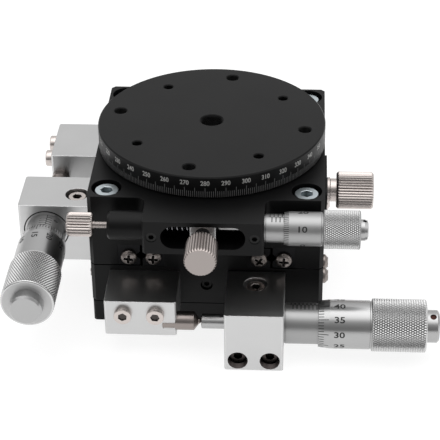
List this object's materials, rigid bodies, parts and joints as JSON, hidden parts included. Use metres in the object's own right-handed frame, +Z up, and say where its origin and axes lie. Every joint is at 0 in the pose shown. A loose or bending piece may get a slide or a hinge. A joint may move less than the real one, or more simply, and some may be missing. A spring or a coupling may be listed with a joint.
{
  "type": "xy rotary positioning stage",
  "caption": "Compact lab positioning stage: crossed-roller X and Y slides moved by micrometer heads, under a graduated rotary table with a fine drive, clamps and thumb locks.",
  "frame": {"origin": "centre of the underside of the base plate, with both slides at the middle of their travel", "axes": "+X to the right along the lower slide and its micrometer, +Y to the back away from the upper slide's micrometer, +Z up through the rotary table"},
  "size_m": [0.1088, 0.1001, 0.0441],
  "materials": {
    "black_anodised": "satin black anodised",
    "clear_anodised": "satin clear anodised, fine-milled",
    "satin_chrome": "satin chrome-plated steel",
    "warm_nickel": "bright nickel-plated steel",
    "blue_zinc": "bluish bright zinc-plated steel",
    "dark_steel": "dark hardened steel",
    "rail_steel": "ground bearing steel",
    "spring_steel": "drawn spring wire",
    "cage_brass": "rolled brass strip"
  },
  "bodies": {
    "base": {"base_plate": "black_anodised", "x_inner_rails": "rail_steel", "x_inner_rail_screws": "warm_nickel", "x_return_spring": "spring_steel", "x_micrometer_block": "clear_anodised", "x_block_screws": "warm_nickel", "x_sleeve": "satin_chrome", "x_lock_plate": "black_anodised", "x_lock_plate_screws": "warm_nickel"},
    "x_cage": {"x_roller_cages": "cage_brass", "x_rollers": "rail_steel"},
    "x_spindle": {"x_spindle": "satin_chrome"},
    "x_thimble": {"x_thimble": "satin_chrome", "x_thimble_cap": "satin_chrome"},
    "x_carriage": {"middle_plate": "black_anodised", "x_outer_rails": "rail_steel", "x_outer_rail_screws": "warm_nickel", "x_anvil_block": "clear_anodised", "x_anvil_screws": "warm_nickel", "x_anvil_pin": "dark_steel", "y_inner_rails": "rail_steel", "y_inner_rail_screws": "warm_nickel", "y_return_spring": "spring_steel", "y_micrometer_block": "clear_anodised", "y_block_screws": "warm_nickel", "y_sleeve": "satin_chrome", "y_lock_plate": "black_anodised", "y_lock_plate_screws": "warm_nickel"},
    "x_lock": {"x_lock_knob": "warm_nickel"},
    "y_cage": {"y_roller_cages": "cage_brass", "y_rollers": "rail_steel"},
    "y_spindle": {"y_spindle": "satin_chrome"},
    "y_thimble": {"y_thimble": "satin_chrome", "y_thimble_cap": "satin_chrome"},
    "y_carriage": {"y_top_plate": "black_anodised", "y_outer_rails": "rail_steel", "y_outer_rail_screws": "warm_nickel", "y_anvil_block": "clear_anodised", "y_anvil_screws": "warm_nickel", "y_anvil_pin": "dark_steel", "rotary_base": "black_anodised", "corner_screws": "blue_zinc", "nose_set_screws": "warm_nickel", "bearing_inner_ring": "rail_steel", "bearing_balls": "rail_steel", "retaining_ring": "spring_steel", "fine_sleeve": "satin_chrome", "lever_spring": "spring_steel", "plunger_boss": "black_anodised"},
    "y_lock": {"y_lock_knob": "warm_nickel"},
    "clamp_lever": {"clamp_ring": "rail_steel", "lever_block": "clear_anodised", "clamp_pad": "cage_brass"},
    "clamp_thumb": {"clamp_thumb_screw": "warm_nickel"},
    "table": {"rotary_table": "black_anodised", "bearing_outer_ring": "rail_steel"},
    "fine_spindle": {"fine_spindle": "satin_chrome"},
    "fine_thimble": {"fine_thimble": "satin_chrome", "fine_thimble_cap": "satin_chrome"},
    "plunger_thumb": {"plunger_thumb_screw": "warm_nickel"}
  },
  "joints": [
    {"name": "x_slide", "type": "slide", "parent": "base", "child": "x_carriage", "axis": [1, 0, 0], "range_m": [-0.0065, 0.0065], "deforming": ["x_return_spring"]},
    {"name": "x_cage_slide", "type": "slide", "parent": "base", "child": "x_cage", "axis": [1, 0, 0], "range_m": [-0.00325, 0.00325]},
    {"name": "x_spindle_slide", "type": "slide", "parent": "base", "child": "x_spindle", "axis": [1, 0, 0], "range_m": [-0.0065, 0.0065]},
    {"name": "x_thimble_turn", "type": "hinge", "parent": "x_spindle", "child": "x_thimble", "pos_m": [0.035, -0.042, 0.00905], "axis": [1, 0, 0], "range_deg": [-4680, 4680]},
    {"name": "y_slide", "type": "slide", "parent": "x_carriage", "child": "y_carriage", "axis": [0, -1, 0], "range_m": [-0.0055, 0.0065], "deforming": ["y_return_spring"]},
    {"name": "y_cage_slide", "type": "slide", "parent": "x_carriage", "child": "y_cage", "axis": [0, -1, 0], "range_m": [-0.00275, 0.00325]},
    {"name": "y_spindle_slide", "type": "slide", "parent": "x_carriage", "child": "y_spindle", "axis": [0, -1, 0], "range_m": [-0.0055, 0.0065]},
    {"name": "y_thimble_turn", "type": "hinge", "parent": "y_spindle", "child": "y_thimble", "pos_m": [-0.0425, -0.035, 0.0214], "axis": [0, -1, 0], "range_deg": [-3960, 4680]},
    {"name": "lever_swing", "type": "hinge", "parent": "y_carriage", "child": "clamp_lever", "pos_m": [0, 0, 0.0335], "axis": [0, 0, 1], "range_deg": [-5, 5], "deforming": ["lever_spring"]},
    {"name": "table_turn", "type": "hinge", "parent": "clamp_lever", "child": "table", "pos_m": [0, 0, 0.0441], "axis": [0, 0, 1], "continuous": true},
    {"name": "fine_spindle_slide", "type": "slide", "parent": "y_carriage", "child": "fine_spindle", "axis": [1, 0, 0], "range_m": [-0.00315, 0.00315]},
    {"name": "fine_thimble_turn", "type": "hinge", "parent": "fine_spindle", "child": "fine_thimble", "pos_m": [0.03, -0.036, 0.0335], "axis": [1, 0, 0], "range_deg": [-2261, 2261]},
    {"name": "x_lock_turn", "type": "hinge", "parent": "x_carriage", "child": "x_lock", "pos_m": [0, 0.036, 0.01185], "axis": [0, 1, 0], "range_deg": [-30, 360]},
    {"name": "y_lock_turn", "type": "hinge", "parent": "y_carriage", "child": "y_lock", "pos_m": [0.036, 0, 0.02325], "axis": [1, 0, 0], "range_deg": [-30, 360]},
    {"name": "clamp_thumb_turn", "type": "hinge", "parent": "clamp_lever", "child": "clamp_thumb", "pos_m": [0, -0.046, 0.0335], "axis": [0, -1, 0], "range_deg": [-30, 360]},
    {"name": "plunger_thumb_turn", "type": "hinge", "parent": "y_carriage", "child": "plunger_thumb", "pos_m": [-0.028, -0.036, 0.0335], "axis": [-1, 0, 0], "range_deg": [-30, 360]}
  ],
  "couplings": [
    {"joint": "x_spindle_slide", "follows": "x_slide", "ratio": 1},
    {"joint": "x_thimble_turn", "follows": "x_slide", "rad_per_m": 12566},
    {"joint": "x_cage_slide", "follows": "x_slide", "ratio": 0.5},
    {"joint": "y_spindle_slide", "follows": "y_slide", "ratio": 1},
    {"joint": "y_thimble_turn", "follows": "y_slide", "rad_per_m": 12566},
    {"joint": "y_cage_slide", "follows": "y_slide", "ratio": 0.5},
    {"joint": "fine_spindle_slide", "follows": "fine_thimble_turn", "m_per_rad": 0.000079577},
    {"joint": "lever_swing", "follows": "fine_thimble_turn", "ratio": 0.0022105}
  ]
}
